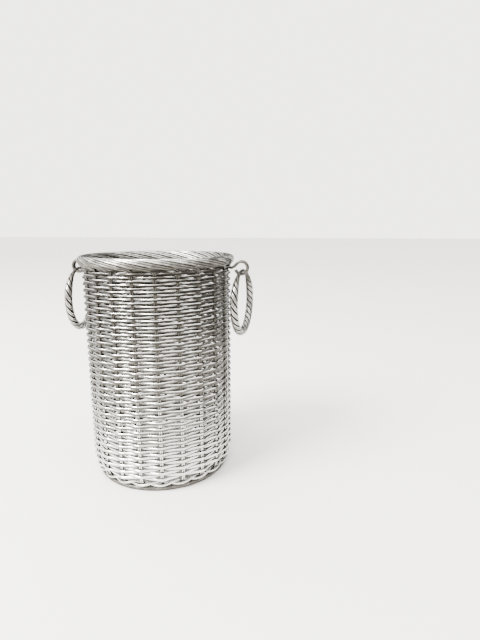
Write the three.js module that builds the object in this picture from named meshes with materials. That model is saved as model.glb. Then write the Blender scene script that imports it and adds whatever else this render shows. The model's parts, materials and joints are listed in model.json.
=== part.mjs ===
// Woven wire bottle coaster: a straight-sided basket of silver-plated wire with a
// rolled border, a foot, and two rope-twist ring handles that hang in wire eyes.
// Millimetres, +Z up, origin on the surface that it stands on, handles on the X axis.

import * as THREE from 'three';

// Wall
const TOTAL_HEIGHT = 165;
const WALL_RADIUS = 52.8; // axis to the middle of the stakes on the straight wall
const HEEL_RADIUS = 16; // the wall turns in to the foot round this arc
const HEEL_ANGLE = THREE.MathUtils.degToRad(42);
const HEEL_STEPS = 3;
const CLEARANCE = 0.3; // between wires that lie against each other

// Stakes: upright pairs of wires, which turn over at the top and make the border
const STAKE_COUNT = 22;
const STAKE_WIRE = 1.2;
const PAIR_GROOVE = 0.5; // share of the wire's thickness left between the two of a pair

// Weave: two wires chase each other round the wall, one row each in turn
const WEAVER_WIRE = 2.05;
const ROW_PITCH = 2.36; // at least; the rows share out the height of the wall
const FIRST_ROW = 9; // height of the lowest row
const LENGTHS_PER_WEAVER = 5; // each weaver is laid in as several lengths of wire
const LENGTH_END_GAP = 0.06; // of a stake spacing, left at each end of a length

// Border: stake ends laid side by side round a hoop
const BORDER_RADIUS = 4.5; // outside of the roll
const BORDER_OFFSET = 0.4; // the roll stands this much outside the wall
const BORDER_STRANDS = 5; // stakes that one strand passes before it ends
const BORDER_START = THREE.MathUtils.degToRad(-50); // round the roll, from straight out
const BORDER_TURN = THREE.MathUtils.degToRad(240);
const BORDER_STEPS = 7;
const BEND_BACK = 0.2; // share of the way from the roll back to the wall where a stake bends
const BEND_AHEAD = 0.25; // of a stake spacing, to where the strand lies true on the roll

// Foot
const FOOT_HOOP_WIDTH = 4.4;
const FOOT_HOOP_HEIGHT = 2.6;
const FOOT_HOOP_FLAT = 3; // width of the flat that it stands on
const TWINE_WIRE = 1.8;
const TWINE_HEIGHT = 5.7;
const BASE_THICKNESS = 1;

// Handles
const EYE_WIRE = 1.6; // the eyes are bent from a pair of wires, as the stakes are
const TANG_THICKNESS = 0.8; // the pair is beaten flat where it goes into the wall
const EYE_RADIUS = 4.2; // to the middle of the wire
const EYE_NECK = 2.6; // from the border to the loop of the eye
const EYE_START = THREE.MathUtils.degToRad(40); // round the eye, from its shank
const EYE_END = THREE.MathUtils.degToRad(328);
const EYE_STEPS = 10;
const RING_OUTSIDE = 50.8;
const RING_ROPE = 5.2; // across the ridges of the rope
const RING_YAW = THREE.MathUtils.degToRad(6.5); // each ring hangs a little askew in its eye
const RING_PIN = 2.4; // plain wire where the ring hangs in its eye
const RING_STRANDS = 4;
const RING_TWISTS = 7; // left-handed
const RING_STEPS = 88;
const RING_TAPER_FROM = THREE.MathUtils.degToRad(14); // plain up to here, from the top
const RING_TAPER_TO = THREE.MathUtils.degToRad(75); // full rope from here on

const UP = new THREE.Vector3(0, 0, 1);
const SPACING = (2 * Math.PI) / STAKE_COUNT;
const FOOT_TOP = FOOT_HOOP_HEIGHT + CLEARANCE;
const HEEL_HEIGHT = FOOT_TOP + (HEEL_RADIUS + STAKE_WIRE / 2) * Math.sin(HEEL_ANGLE);
const FOOT_RADIUS = WALL_RADIUS - HEEL_RADIUS * (1 - Math.cos(HEEL_ANGLE));
const ROLL_RADIUS = BORDER_RADIUS - STAKE_WIRE / 2; // to the middle of a border strand
const ROLL_CENTRE = WALL_RADIUS + BORDER_OFFSET;
const ROLL_HEIGHT = TOTAL_HEIGHT - BORDER_RADIUS;
const BORDER_FOOT = ROLL_HEIGHT + ROLL_RADIUS * Math.sin(BORDER_START) - STAKE_WIRE;
const EYE_HEIGHT = BORDER_FOOT - CLEARANCE - TANG_THICKNESS / 2; // its tang lies under the border
const WEAVE_TOP = EYE_HEIGHT - TANG_THICKNESS / 2 - CLEARANCE - WEAVER_WIRE / 2;

const silver = (roughness) =>
  new THREE.MeshStandardMaterial({ color: 0xd8d5cd, metalness: 1, roughness });

// A unit vector that points straight out from the axis.
const outward = (angle) => new THREE.Vector3(Math.cos(angle), Math.sin(angle), 0);

const polar = (radius, angle, height) => outward(angle).multiplyScalar(radius).setZ(height);

// Corners of a wire's section, the first one facing out.
function wireSection(radius, corners) {
  const outline = [];
  for (let corner = 0; corner < corners; corner += 1) {
    const turn = Math.PI / 2 + (corner * 2 * Math.PI) / corners;
    outline.push([radius * Math.cos(turn), radius * Math.sin(turn)]);
  }
  return outline;
}

// A solid along a run of samples. Each sample has a centre, the way out from what it
// lies on, and a section whose corners are given as [across, out].
function sweep(samples, closed = false) {
  const count = samples.length;
  const corners = samples[0].section.length;
  const positions = [];
  samples.forEach((sample, step) => {
    const before = samples[closed ? (step + count - 1) % count : Math.max(step - 1, 0)];
    const after = samples[closed ? (step + 1) % count : Math.min(step + 1, count - 1)];
    const along = after.centre.clone().sub(before.centre).normalize();
    const across = sample.out.clone().cross(along).normalize();
    const out = along.clone().cross(across);
    for (const [side, rise] of sample.section) {
      const corner = sample.centre.clone().addScaledVector(across, side).addScaledVector(out, rise);
      positions.push(corner.x, corner.y, corner.z);
    }
  });
  const index = [];
  for (let step = 0; step < (closed ? count : count - 1); step += 1) {
    const here = step * corners;
    const next = ((step + 1) % count) * corners;
    for (let corner = 0; corner < corners; corner += 1) {
      const beside = (corner + 1) % corners;
      index.push(here + corner, here + beside, next + beside);
      index.push(here + corner, next + beside, next + corner);
    }
  }
  if (!closed) {
    const last = (count - 1) * corners;
    for (let corner = 1; corner < corners - 1; corner += 1) {
      index.push(0, corner + 1, corner);
      index.push(last, last + corner, last + corner + 1);
    }
  }
  const geometry = new THREE.BufferGeometry();
  geometry.setAttribute('position', new THREE.Float32BufferAttribute(positions, 3));
  geometry.setIndex(index);
  geometry.computeVertexNormals();
  return geometry;
}

// The wall's own line from the foot up, as [radius, height, lean], with the lean
// measured inwards from upright. The heel is an arc and the rest is straight.
function wallLine() {
  const line = [];
  for (let step = 0; step <= HEEL_STEPS; step += 1) {
    const lean = HEEL_ANGLE * (1 - step / HEEL_STEPS);
    const radius = WALL_RADIUS - HEEL_RADIUS * (1 - Math.cos(lean));
    line.push([radius, HEEL_HEIGHT - HEEL_RADIUS * Math.sin(lean), lean]);
  }
  return line;
}

// The middle of the wall at a height, and the way out from it there.
function wallAt(height, angle) {
  const reach = Math.min(Math.max((HEEL_HEIGHT - height) / HEEL_RADIUS, 0), 1);
  const lean = Math.asin(reach);
  const radius = WALL_RADIUS - HEEL_RADIUS * (1 - Math.cos(lean));
  const out = outward(angle).multiplyScalar(Math.cos(lean)).addScaledVector(UP, -Math.sin(lean));
  return { centre: polar(radius, angle, height), out };
}

const stakeAngle = (place) => (place + 0.5) * SPACING;

// Two wires side by side, drawn as one outline with a groove down each face.
function pairSection(across, thickness) {
  const out = thickness / 2;
  const groove = out * PAIR_GROOVE;
  return [
    [0, -groove],
    [across, -out],
    [across, out],
    [0, groove],
    [-across, out],
    [-across, -out],
  ];
}

// A stake stands on the foot hoop, climbs the wall, leaves it under the border and lies
// round the roll of the border, over the top and down the inside.
function stake(place) {
  const angle = stakeAngle(place);
  const section = pairSection(STAKE_WIRE, STAKE_WIRE);
  const samples = wallLine().map(([radius, height, lean]) => ({
    centre: polar(radius, angle, height),
    out: outward(angle).multiplyScalar(Math.cos(lean)).addScaledVector(UP, -Math.sin(lean)),
    section,
  }));
  samples.push({ ...wallAt(WEAVE_TOP + WEAVER_WIRE / 2, angle), section });
  const onRoll = (passed) => {
    const turn = BORDER_START + (BORDER_TURN * passed) / BORDER_STRANDS;
    const there = angle - passed * SPACING;
    const out = outward(there).multiplyScalar(Math.cos(turn)).addScaledVector(UP, Math.sin(turn));
    const middle = polar(ROLL_CENTRE, there, ROLL_HEIGHT);
    return { centre: middle.addScaledVector(out, ROLL_RADIUS), out, section };
  };
  const bend = onRoll(0);
  bend.centre.lerp(samples[samples.length - 1].centre, BEND_BACK);
  samples.push(bend);
  samples.push(onRoll(BEND_AHEAD));
  for (let step = 1; step <= BORDER_STEPS; step += 1) {
    samples.push(onRoll((BORDER_STRANDS * step) / BORDER_STEPS));
  }
  return sweep(samples);
}

// How far the middle of a woven wire lies from the middle of the wall as it passes
// outside and inside a stake. It runs straight from stake to stake, so it stands off
// enough to clear the edges of the pair as well.
function weaveReach(radius, outerHalf, innerHalf) {
  const least = STAKE_WIRE / 2 + CLEARANCE;
  const bend = Math.cos(SPACING);
  const step = Math.sin(SPACING);
  let outside = least + innerHalf;
  let inside = least + outerHalf;
  for (let pass = 0; pass < 8; pass += 1) {
    const far = radius + outside;
    const near = radius - inside;
    outside = least + innerHalf + (STAKE_WIRE * (far - near * bend)) / (near * step);
    inside = least + outerHalf + (STAKE_WIRE * Math.max(far * bend - near, 0)) / (far * step);
  }
  return { outside, inside };
}

// A three-cornered wire that is as tall as the real one, with one corner facing out.
const triangleRadius = (wire) => wire / Math.sqrt(3);

const WEAVER_RADIUS = triangleRadius(WEAVER_WIRE);
const WEAVE = weaveReach(WALL_RADIUS, WEAVER_RADIUS, WEAVER_RADIUS / 2);

// Passes in one length of a weaver: an even number, so that each length starts and
// ends behind a stake. The last row ends right under the border.
const TURNS = (WEAVE_TOP - FIRST_ROW) / (2 * ROW_PITCH);
const PASSES = 2 * Math.floor((TURNS * STAKE_COUNT) / LENGTHS_PER_WEAVER / 2);
const CLIMB = (WEAVE_TOP - FIRST_ROW) / (PASSES * LENGTHS_PER_WEAVER); // from stake to stake

// One length of a weaver. The second weaver starts half a turn round from the first.
function weaverLength(weaver, length) {
  const section = wireSection(WEAVER_RADIUS, 3);
  const start = 1 + weaver * (STAKE_COUNT / 2);
  const samples = [];
  for (let pass = length * PASSES; pass <= (length + 1) * PASSES; pass += 1) {
    const isOutside = pass % 2 === 1;
    let place = pass;
    if (pass === length * PASSES) {
      place += LENGTH_END_GAP;
    }
    if (pass === (length + 1) * PASSES) {
      place -= LENGTH_END_GAP;
    }
    const height = FIRST_ROW + CLIMB * place;
    const { centre, out } = wallAt(height, stakeAngle(start + place));
    centre.addScaledVector(out, isOutside ? WEAVE.outside : -WEAVE.inside);
    samples.push({ centre, out, section });
  }
  return sweep(samples);
}

// One of the two wires that twist about each other between the stakes above the foot.
function footTwine(strand) {
  const radius = triangleRadius(TWINE_WIRE);
  const section = wireSection(radius, 3);
  const middle = wallAt(TWINE_HEIGHT, 0).centre.x;
  const reach = weaveReach(middle, radius, radius / 2);
  const rise = TWINE_WIRE / 2 + CLEARANCE / 2;
  const samples = [];
  for (let half = 0; half < 2 * STAKE_COUNT; half += 1) {
    const angle = stakeAngle(half / 2);
    const { centre, out } = wallAt(TWINE_HEIGHT, angle);
    const along = out.clone().cross(outward(angle + Math.PI / 2));
    const phase = (half / 2 + strand) * Math.PI;
    const swing = Math.cos(phase);
    centre.addScaledVector(out, swing > 0 ? swing * reach.outside : swing * reach.inside);
    centre.addScaledVector(along, rise * Math.sin(phase));
    samples.push({ centre, out, section });
  }
  return sweep(samples, true);
}

// The hoop that the border is rolled over fills the roll, up to its strands.
function rimHoop() {
  const slack = Math.cos(BORDER_TURN / BORDER_STEPS / 2); // strands run straight between steps
  const section = wireSection(ROLL_RADIUS * slack - STAKE_WIRE / 2 - CLEARANCE, 4);
  const samples = [];
  for (let step = 0; step < 2 * STAKE_COUNT; step += 1) {
    const angle = (step * SPACING) / 2;
    samples.push({ centre: polar(ROLL_CENTRE, angle, ROLL_HEIGHT), out: outward(angle), section });
  }
  return sweep(samples, true);
}

// The foot hoop is flat above and below, and its sides bulge.
function footHoop() {
  const half = FOOT_HOOP_WIDTH / 2;
  const flat = FOOT_HOOP_FLAT / 2;
  const profile = [
    new THREE.Vector2(FOOT_RADIUS - flat, 0),
    new THREE.Vector2(FOOT_RADIUS + flat, 0),
    new THREE.Vector2(FOOT_RADIUS + half, FOOT_HOOP_HEIGHT / 2),
    new THREE.Vector2(FOOT_RADIUS + flat, FOOT_HOOP_HEIGHT),
    new THREE.Vector2(FOOT_RADIUS - flat, FOOT_HOOP_HEIGHT),
    new THREE.Vector2(FOOT_RADIUS - half, FOOT_HOOP_HEIGHT / 2),
    new THREE.Vector2(FOOT_RADIUS - flat, 0),
  ];
  return new THREE.LatheGeometry(profile, 2 * STAKE_COUNT).rotateX(Math.PI / 2);
}

// The base lies on the foot hoop, inside the ring of stakes.
function basePlate() {
  const radius = FOOT_RADIUS - STAKE_WIRE - CLEARANCE;
  const profile = [
    new THREE.Vector2(0, FOOT_TOP),
    new THREE.Vector2(radius, FOOT_TOP),
    new THREE.Vector2(radius, FOOT_TOP + BASE_THICKNESS),
    new THREE.Vector2(0, FOOT_TOP + BASE_THICKNESS),
  ];
  return new THREE.LatheGeometry(profile, 2 * STAKE_COUNT).rotateX(Math.PI / 2);
}

// The eye stands off the lower side of the border's roll.
const BORDER_REACH = Math.hypot(BORDER_RADIUS, STAKE_WIRE);
const EYE_APART = BORDER_REACH + EYE_NECK + EYE_RADIUS + EYE_WIRE / 2;
const EYE_CENTRE = ROLL_CENTRE + Math.sqrt(EYE_APART ** 2 - (ROLL_HEIGHT - EYE_HEIGHT) ** 2);
const PIN_HEIGHT = EYE_HEIGHT - EYE_RADIUS + (EYE_WIRE + RING_PIN) / 2 + CLEARANCE;

// A wire eye on the +X side. Its flat tang goes into the wall between two stakes, under
// the border, and the wire bends up and round in a loop that closes on its neck.
function eye() {
  const section = pairSection(EYE_WIRE, EYE_WIRE);
  const tang = pairSection(EYE_WIRE, TANG_THICKNESS);
  const tail = WALL_RADIUS - WEAVE.inside - WEAVER_RADIUS / 2;
  const shoulder = WALL_RADIUS + WEAVE.outside + WEAVER_RADIUS;
  const neck = EYE_CENTRE - EYE_RADIUS - EYE_WIRE / 2;
  const samples = [];
  samples.push({ centre: new THREE.Vector3(tail, 0, EYE_HEIGHT), out: UP, section: tang });
  samples.push({ centre: new THREE.Vector3(shoulder, 0, EYE_HEIGHT), out: UP, section: tang });
  samples.push({ centre: new THREE.Vector3(neck, 0, EYE_HEIGHT), out: UP, section });
  for (let step = 0; step <= EYE_STEPS; step += 1) {
    const turn = EYE_START + ((EYE_END - EYE_START) * step) / EYE_STEPS;
    const out = new THREE.Vector3(-Math.cos(turn), 0, Math.sin(turn));
    const centre = new THREE.Vector3(EYE_CENTRE, 0, EYE_HEIGHT).addScaledVector(out, EYE_RADIUS);
    samples.push({ centre, out, section });
  }
  return sweep(samples);
}

// Share of the full rope at an angle from the top of a ring, from 0 to 1.
function ropeShare(turn) {
  const fromTop = Math.min(turn, 2 * Math.PI - turn);
  return THREE.MathUtils.smoothstep(fromTop, RING_TAPER_FROM, RING_TAPER_TO);
}

// A ring on the +X side: strands twisted together, one to each corner of the section, and
// drawn down to thin wire where the ring passes through its eye. It hangs turned by the
// yaw about its pin.
function ring(yaw) {
  const middle = (RING_OUTSIDE - RING_ROPE) / 2;
  const centreHeight = PIN_HEIGHT - middle;
  const samples = [];
  for (let step = 0; step < RING_STEPS; step += 1) {
    const turn = (step * 2 * Math.PI) / RING_STEPS;
    const ridge = THREE.MathUtils.lerp(RING_PIN / 2, RING_ROPE / 2, ropeShare(turn));
    const section = [];
    for (let corner = 0; corner < RING_STRANDS; corner += 1) {
      const round = (corner * 2 * Math.PI) / RING_STRANDS - turn * RING_TWISTS;
      section.push([ridge * Math.cos(round), ridge * Math.sin(round)]);
    }
    const out = new THREE.Vector3(0, Math.sin(turn), Math.cos(turn)).applyAxisAngle(UP, yaw);
    const centre = new THREE.Vector3(EYE_CENTRE, 0, centreHeight).addScaledVector(out, middle);
    samples.push({ centre, out, section });
  }
  return sweep(samples, true);
}

const coaster = new THREE.Group();

function add(name, geometry, roughness, turn = 0) {
  const mesh = new THREE.Mesh(geometry, silver(roughness));
  mesh.name = name;
  mesh.rotation.z = turn;
  coaster.add(mesh);
}

for (let place = 0; place < STAKE_COUNT; place += 1) {
  add(`stake_${String(place + 1).padStart(2, '0')}`, stake(place), 0.2);
}

['a', 'b'].forEach((letter, weaver) => {
  for (let length = 0; length < LENGTHS_PER_WEAVER; length += 1) {
    add(`weaver_${letter}_${length + 1}`, weaverLength(weaver, length), 0.18);
  }
  add(`foot_twine_${letter}`, footTwine(weaver), 0.22);
});

add('rim_hoop', rimHoop(), 0.25);
add('foot_hoop', footHoop(), 0.25);
add('base_plate', basePlate(), 0.3);

add('lug_right', eye(), 0.2);
add('lug_left', eye(), 0.2, Math.PI);
add('ring_right', ring(-RING_YAW), 0.18);
add('ring_left', ring(RING_YAW), 0.18, Math.PI);

export default coaster;
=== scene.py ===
# %% [markdown]
# # A woven wire bottle coaster
# The coaster is a straight basket of silver-plated wire. Upright pairs of wire, the
# stakes, stand in a ring. Two long wires are woven in and out of them, and at the top the
# stakes bend over and lie round a hoop as a rolled border. Two rope rings hang in eyes.
#
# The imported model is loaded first. It gives the place and the size of each piece, and
# the pieces below are finer versions of the same wires in the same places.

# %% Load the frame
import json
import math

import bmesh
import bpy
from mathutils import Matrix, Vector

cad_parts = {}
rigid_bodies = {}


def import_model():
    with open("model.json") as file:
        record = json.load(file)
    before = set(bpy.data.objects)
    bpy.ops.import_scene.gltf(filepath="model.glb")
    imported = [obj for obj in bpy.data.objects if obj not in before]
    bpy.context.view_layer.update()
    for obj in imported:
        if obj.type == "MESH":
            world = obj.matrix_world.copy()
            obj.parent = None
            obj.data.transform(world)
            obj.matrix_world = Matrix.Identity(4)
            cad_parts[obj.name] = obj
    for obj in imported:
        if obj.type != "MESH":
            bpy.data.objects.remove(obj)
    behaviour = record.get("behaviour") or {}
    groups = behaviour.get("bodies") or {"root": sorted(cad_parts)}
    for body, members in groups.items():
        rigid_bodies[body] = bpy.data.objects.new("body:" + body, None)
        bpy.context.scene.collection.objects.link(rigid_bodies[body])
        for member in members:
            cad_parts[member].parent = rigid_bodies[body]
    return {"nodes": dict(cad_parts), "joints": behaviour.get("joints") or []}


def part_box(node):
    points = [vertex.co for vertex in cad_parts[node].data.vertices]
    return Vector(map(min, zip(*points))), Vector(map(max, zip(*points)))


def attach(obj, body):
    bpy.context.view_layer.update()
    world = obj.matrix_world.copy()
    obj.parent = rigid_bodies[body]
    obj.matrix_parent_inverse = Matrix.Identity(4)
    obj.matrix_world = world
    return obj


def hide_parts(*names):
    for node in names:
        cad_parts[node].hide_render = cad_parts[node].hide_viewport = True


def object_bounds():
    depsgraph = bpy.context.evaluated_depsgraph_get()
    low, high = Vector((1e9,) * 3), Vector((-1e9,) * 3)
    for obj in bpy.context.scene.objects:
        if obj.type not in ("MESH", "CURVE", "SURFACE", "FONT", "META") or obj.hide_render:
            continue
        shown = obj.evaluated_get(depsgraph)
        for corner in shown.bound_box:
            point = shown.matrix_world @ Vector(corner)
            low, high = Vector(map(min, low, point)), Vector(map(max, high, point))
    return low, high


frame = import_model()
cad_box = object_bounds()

MM = 0.001


def sides_in_mm(box):
    return [round(side / MM, 1) for side in box[1] - box[0]]


print("nodes", len(frame["nodes"]))
print("size in mm", sides_in_mm(cad_box))

# %% [markdown]
# ## Sizes
# The looks are built by the same rules as the solids, so the basket's main sizes are
# repeated here in millimetres: the ring of stakes, the wall, and the heel, where the wall
# turns in towards the foot. What can be read from the frame is read from it. Stakes are
# counted from the X axis, and the first stands half a spacing on from it.

# %% Sizes of the basket
STAKE_COUNT = 22
SPACING = 2 * math.pi / STAKE_COUNT
FIRST_STAKE = 0.5
STAKE_WIRE = 1.2
WALL_RADIUS = 52.8
HEEL_RADIUS = 16.0
HEEL_ANGLE = math.radians(42)
CLEARANCE = 0.3

foot_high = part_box("foot_hoop")[1]
FOOT_TOP = foot_high.z / MM
HEEL_HEIGHT = FOOT_TOP + CLEARANCE + (HEEL_RADIUS + STAKE_WIRE / 2) * math.sin(HEEL_ANGLE)
print("heel turns in below", round(HEEL_HEIGHT, 2), "mm")

# %% [markdown]
# ## Camera
# The camera stands a little above the rim, about a third of a metre away, and looks past
# the basket, so that the basket is left of the middle of the picture. Its place was found
# by fitting a pinhole camera to the rim, the rows and the foot. The lens is given for an
# image of 480 by 640 pixels, whose long side takes the whole sensor.

# %% Camera
IMAGE_LONG_SIDE = 640
FOCAL_PIXELS = 440
CAMERA_AZIMUTH = math.radians(19.2)
CAMERA_DISTANCE = 339.6
CAMERA_HEIGHT = 184.4
CAMERA_PITCH = math.radians(11.83)
CAMERA_PAN = math.radians(-10.51)

camera_data = bpy.data.cameras.new("camera")
camera_data.sensor_width = 36.0
camera_data.lens = camera_data.sensor_width * FOCAL_PIXELS / IMAGE_LONG_SIDE
camera_data.clip_start = 0.01
camera = bpy.data.objects.new("camera", camera_data)
camera.location = (
    CAMERA_DISTANCE * MM * math.sin(CAMERA_AZIMUTH),
    -CAMERA_DISTANCE * MM * math.cos(CAMERA_AZIMUTH),
    CAMERA_HEIGHT * MM,
)
camera.rotation_euler = (math.pi / 2 - CAMERA_PITCH, 0, CAMERA_AZIMUTH + CAMERA_PAN)
bpy.context.scene.collection.objects.link(camera)
bpy.context.scene.camera = camera
print("lens", round(camera_data.lens, 2), "mm")

# %% [markdown]
# ## Silver plate
# Polished silver shows what it reflects, so its colour is nearly white and its roughness
# is low. What tells it from chrome is age: a dark warm tarnish that stays where a cloth
# doesn't reach. The same darkening is also painted shade between and under the wires, and
# it leaves a painted bright line where light falls from above. An Ambient Occlusion node
# could look for such places, but it is slow and blurs over thin wires, so each wire
# carries a number for its painted shade and tarnish instead. It is 0 where the wire faces
# outwards, and grows where it turns away or is tucked behind another wire. The finish
# reads it, and goes from bright through a dull grey to black. Noise in Object coordinates
# breaks up the edge of the tarnish and painted shade, a broad one dims the plate like
# breath on a mirror, and a fine one dents it, because drawn wire is never quite even.

# %% Nodes for a finish
def link(owner, start, end):
    """Links two sockets among the nodes of a material or of the world."""
    owner.node_tree.links.new(start, end)


def noise(owner, place, scale, detail):
    texture = owner.node_tree.nodes.new("ShaderNodeTexNoise")
    texture.inputs["Scale"].default_value = scale
    texture.inputs["Detail"].default_value = detail
    link(owner, place, texture.inputs["Vector"])
    return texture.outputs["Fac"]


def mapped(owner, value, start, end, smooth=False):
    """A value taken from the range start to the range end, and held inside it."""
    node = owner.node_tree.nodes.new("ShaderNodeMapRange")
    if smooth:
        node.interpolation_type = "SMOOTHSTEP"
    for name, number in zip(("From Min", "From Max", "To Min", "To Max"), (*start, *end)):
        node.inputs[name].default_value = number
    link(owner, value, node.inputs["Value"])
    return node.outputs["Result"]


def colour_ramp(owner, value, stops):
    """A colour ramp fed by a value, with its stops as pairs of place and colour."""
    ramp = owner.node_tree.nodes.new("ShaderNodeValToRGB")
    elements = ramp.color_ramp.elements
    elements.remove(elements[-1])
    elements[0].position = stops[0][0]
    elements[0].color = (*stops[0][1], 1)
    for place, colour in stops[1:]:
        elements.new(place).color = (*colour, 1)
    link(owner, value, ramp.inputs["Fac"])
    return ramp


def dented(owner, height, strength, depth):
    """A Bump node that dents a surface by a height."""
    bump = owner.node_tree.nodes.new("ShaderNodeBump")
    bump.inputs["Strength"].default_value = strength
    bump.inputs["Distance"].default_value = depth
    link(owner, height, bump.inputs["Height"])
    return bump


# %% Silver finish
EDGE_NOISE = {"scale": 240.0, "detail": 4.0}
BREATH_NOISE = {"scale": 35.0, "detail": 2.0}
DENT_NOISE = {"scale": 420.0, "detail": 3.0}
BREATH_DIMS_TO = 0.84
DENT_STRENGTH = 0.07
DENT_DEPTH = 0.0003


def silver_finish(name, bright, dull_grey, black, stops, smooth, dull, patchy=0.3):
    """Silver plate that goes from bright through dull grey to black as its painted shade
    and tarnish grows.

    Stops are four values of it: clean up to the first, grey from the second to the third,
    and black from the last. Smooth and dull are the roughness of clean and of grey
    plate, and patchy is how far the noise moves the edge of the tarnish and painted shade."""
    material = bpy.data.materials.new(name)
    material.use_nodes = True
    nodes = material.node_tree.nodes
    shader = nodes["Principled BSDF"]
    shader.inputs["Metallic"].default_value = 1.0
    place = nodes.new("ShaderNodeTexCoord").outputs["Object"]

    shade_and_tarnish = nodes.new("ShaderNodeAttribute")
    shade_and_tarnish.attribute_name = "shade_and_tarnish"
    edge = noise(material, place, **EDGE_NOISE)
    uneven_shade_and_tarnish = nodes.new("ShaderNodeMath")
    link(material, shade_and_tarnish.outputs["Fac"], uneven_shade_and_tarnish.inputs[0])
    link(material, mapped(material, edge, (0, 1), (-patchy / 2, patchy / 2)), uneven_shade_and_tarnish.inputs[1])
    colours = (bright, dull_grey, dull_grey, black)
    ramp = colour_ramp(material, uneven_shade_and_tarnish.outputs[0], list(zip(stops, colours)))
    ramp.color_ramp.interpolation = "EASE"

    breath = noise(material, place, **BREATH_NOISE)
    dimmed = nodes.new("ShaderNodeVectorMath")
    dimmed.operation = "SCALE"
    link(material, ramp.outputs["Color"], dimmed.inputs[0])
    link(material, mapped(material, breath, (0, 1), (1, BREATH_DIMS_TO)), dimmed.inputs["Scale"])
    link(material, dimmed.outputs[0], shader.inputs["Base Color"])

    roughness = mapped(material, uneven_shade_and_tarnish.outputs[0], stops[:2], (smooth, dull))
    link(material, roughness, shader.inputs["Roughness"])
    dents = noise(material, place, **DENT_NOISE)
    bump = dented(material, dents, DENT_STRENGTH, DENT_DEPTH)
    link(material, bump.outputs["Normal"], shader.inputs["Normal"])
    return material


# %% Finishes of the wires
# GREY, DARK and BLACK are the colours of painted shade and tarnish, where a wire turns away or
# lies tucked.
GREY = (0.105, 0.099, 0.088)
DARK = (0.050, 0.046, 0.038)
BLACK = (0.018, 0.016, 0.013)
woven_silver = silver_finish(
    "woven_silver", bright=(0.95, 0.94, 0.915), dull_grey=GREY, black=BLACK,
    stops=(0.10, 0.25, 0.33, 0.52), smooth=0.13, dull=0.40, patchy=0.04,
)
stake_silver = silver_finish(
    "stake_silver", bright=(0.93, 0.915, 0.885), dull_grey=GREY, black=BLACK,
    stops=(0.20, 0.50, 0.72, 1.0), smooth=0.14, dull=0.40,
)
rope_silver = silver_finish(
    "rope_silver", bright=(0.94, 0.93, 0.90), dull_grey=GREY, black=BLACK,
    stops=(0.01, 0.14, 0.22, 0.46), smooth=0.12, dull=0.38, patchy=0.05,
)
foot_silver = silver_finish(
    "foot_silver", bright=(0.92, 0.905, 0.875), dull_grey=GREY, black=DARK,
    stops=(0.20, 0.55, 0.75, 1.0), smooth=0.16, dull=0.45,
)
print("finishes", [m.name for m in bpy.data.materials if m.name.endswith("silver")])

# %% [markdown]
# ## Sums in a node tree
# The rules of the weave are sums of sines and heights. In Geometry Nodes each step of a
# sum is a Math node, which soon makes a long script. The small class below lets a sum be
# written as usual, and adds a Math node or two for each sign.

# %% Writing sums as nodes
def feed(tree, socket, value):
    """Gives a socket a figure, another node's output, or a plain value."""
    if isinstance(value, Figure):
        value = value.socket
    if isinstance(value, bpy.types.NodeSocket):
        tree.links.new(value, socket)
    else:
        socket.default_value = value


class Figure:
    """A number in a node tree. A sum of figures is one Math node after another."""

    def __init__(self, tree, socket):
        self.tree = tree
        self.socket = socket

    def into(self, operation, *others):
        node = self.tree.nodes.new("ShaderNodeMath")
        node.operation = operation
        for slot, value in enumerate((self, *others)):
            feed(self.tree, node.inputs[slot], value)
        return Figure(self.tree, node.outputs[0])

    def __add__(self, other):
        return self.into("ADD", other)

    def __sub__(self, other):
        return self.into("SUBTRACT", other)

    def __rsub__(self, number):
        return (-self) + number

    def __mul__(self, other):
        return self.into("MULTIPLY", other)

    def __truediv__(self, other):
        return self.into("DIVIDE", other)

    def __neg__(self):
        return self.into("MULTIPLY", -1.0)

    def held(self, low, high):
        return self.into("MAXIMUM", low).into("MINIMUM", high)


# %% [markdown]
# ## Trees that make a mesh
# Each tree has named inputs for its sizes, so one rule can make several pieces. It ends
# by turning instances into real geometry, because the export drops instances, and by
# setting the finish. A tree is run once, as a modifier on an object that is then thrown
# away. Its inputs are set by the sockets' identifiers, before the object is first
# evaluated. What it made is kept as a plain mesh, whose place is in its points.

# %% Starting a tree
def add_node(tree, kind, settings=None, **inputs):
    """Adds a node, with its settings and with inputs named in words_like_this."""
    node = tree.nodes.new(kind)
    for setting, value in (settings or {}).items():
        setattr(node, setting, value)
    for words, value in inputs.items():
        feed(tree, node.inputs[words.replace("_", " ").title()], value)
    return node


def start_tree(name, sizes, takes_path=False):
    """A new geometry tree, and its named sizes as figures."""
    tree = bpy.data.node_groups.new(name, "GeometryNodeTree")
    tree.interface.new_socket("Geometry", in_out="OUTPUT", socket_type="NodeSocketGeometry")
    if takes_path:
        tree.interface.new_socket("Path", in_out="INPUT", socket_type="NodeSocketGeometry")
    for size in sizes:
        tree.interface.new_socket(size, in_out="INPUT", socket_type="NodeSocketFloat")
    entry = tree.nodes.new("NodeGroupInput")
    return tree, {socket.name: Figure(tree, socket) for socket in entry.outputs[:-1]}


def point_at(tree, x, y, z):
    return add_node(tree, "ShaderNodeCombineXYZ", x=x, y=y, z=z).outputs[0]


def vector_node(tree, operation, *values):
    node = tree.nodes.new("ShaderNodeVectorMath")
    node.operation = operation
    for slot, value in enumerate(values):
        scaling = operation == "SCALE" and slot == 1
        feed(tree, node.inputs["Scale" if scaling else slot], value)
    return node.outputs["Value" if operation == "DOT_PRODUCT" else "Vector"]


# %% Ending and running a tree
def end_tree(tree, geometry, finish):
    """Realizes what was made, smooths it, gives it its finish and puts it out."""
    real = add_node(tree, "GeometryNodeRealizeInstances", geometry=geometry)
    smooth = add_node(tree, "GeometryNodeSetShadeSmooth", geometry=real.outputs[0])
    coated = add_node(
        tree, "GeometryNodeSetMaterial", geometry=smooth.outputs[0], material=finish
    )
    leave = tree.nodes.new("NodeGroupOutput")
    tree.links.new(coated.outputs[0], leave.inputs[0])


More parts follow.
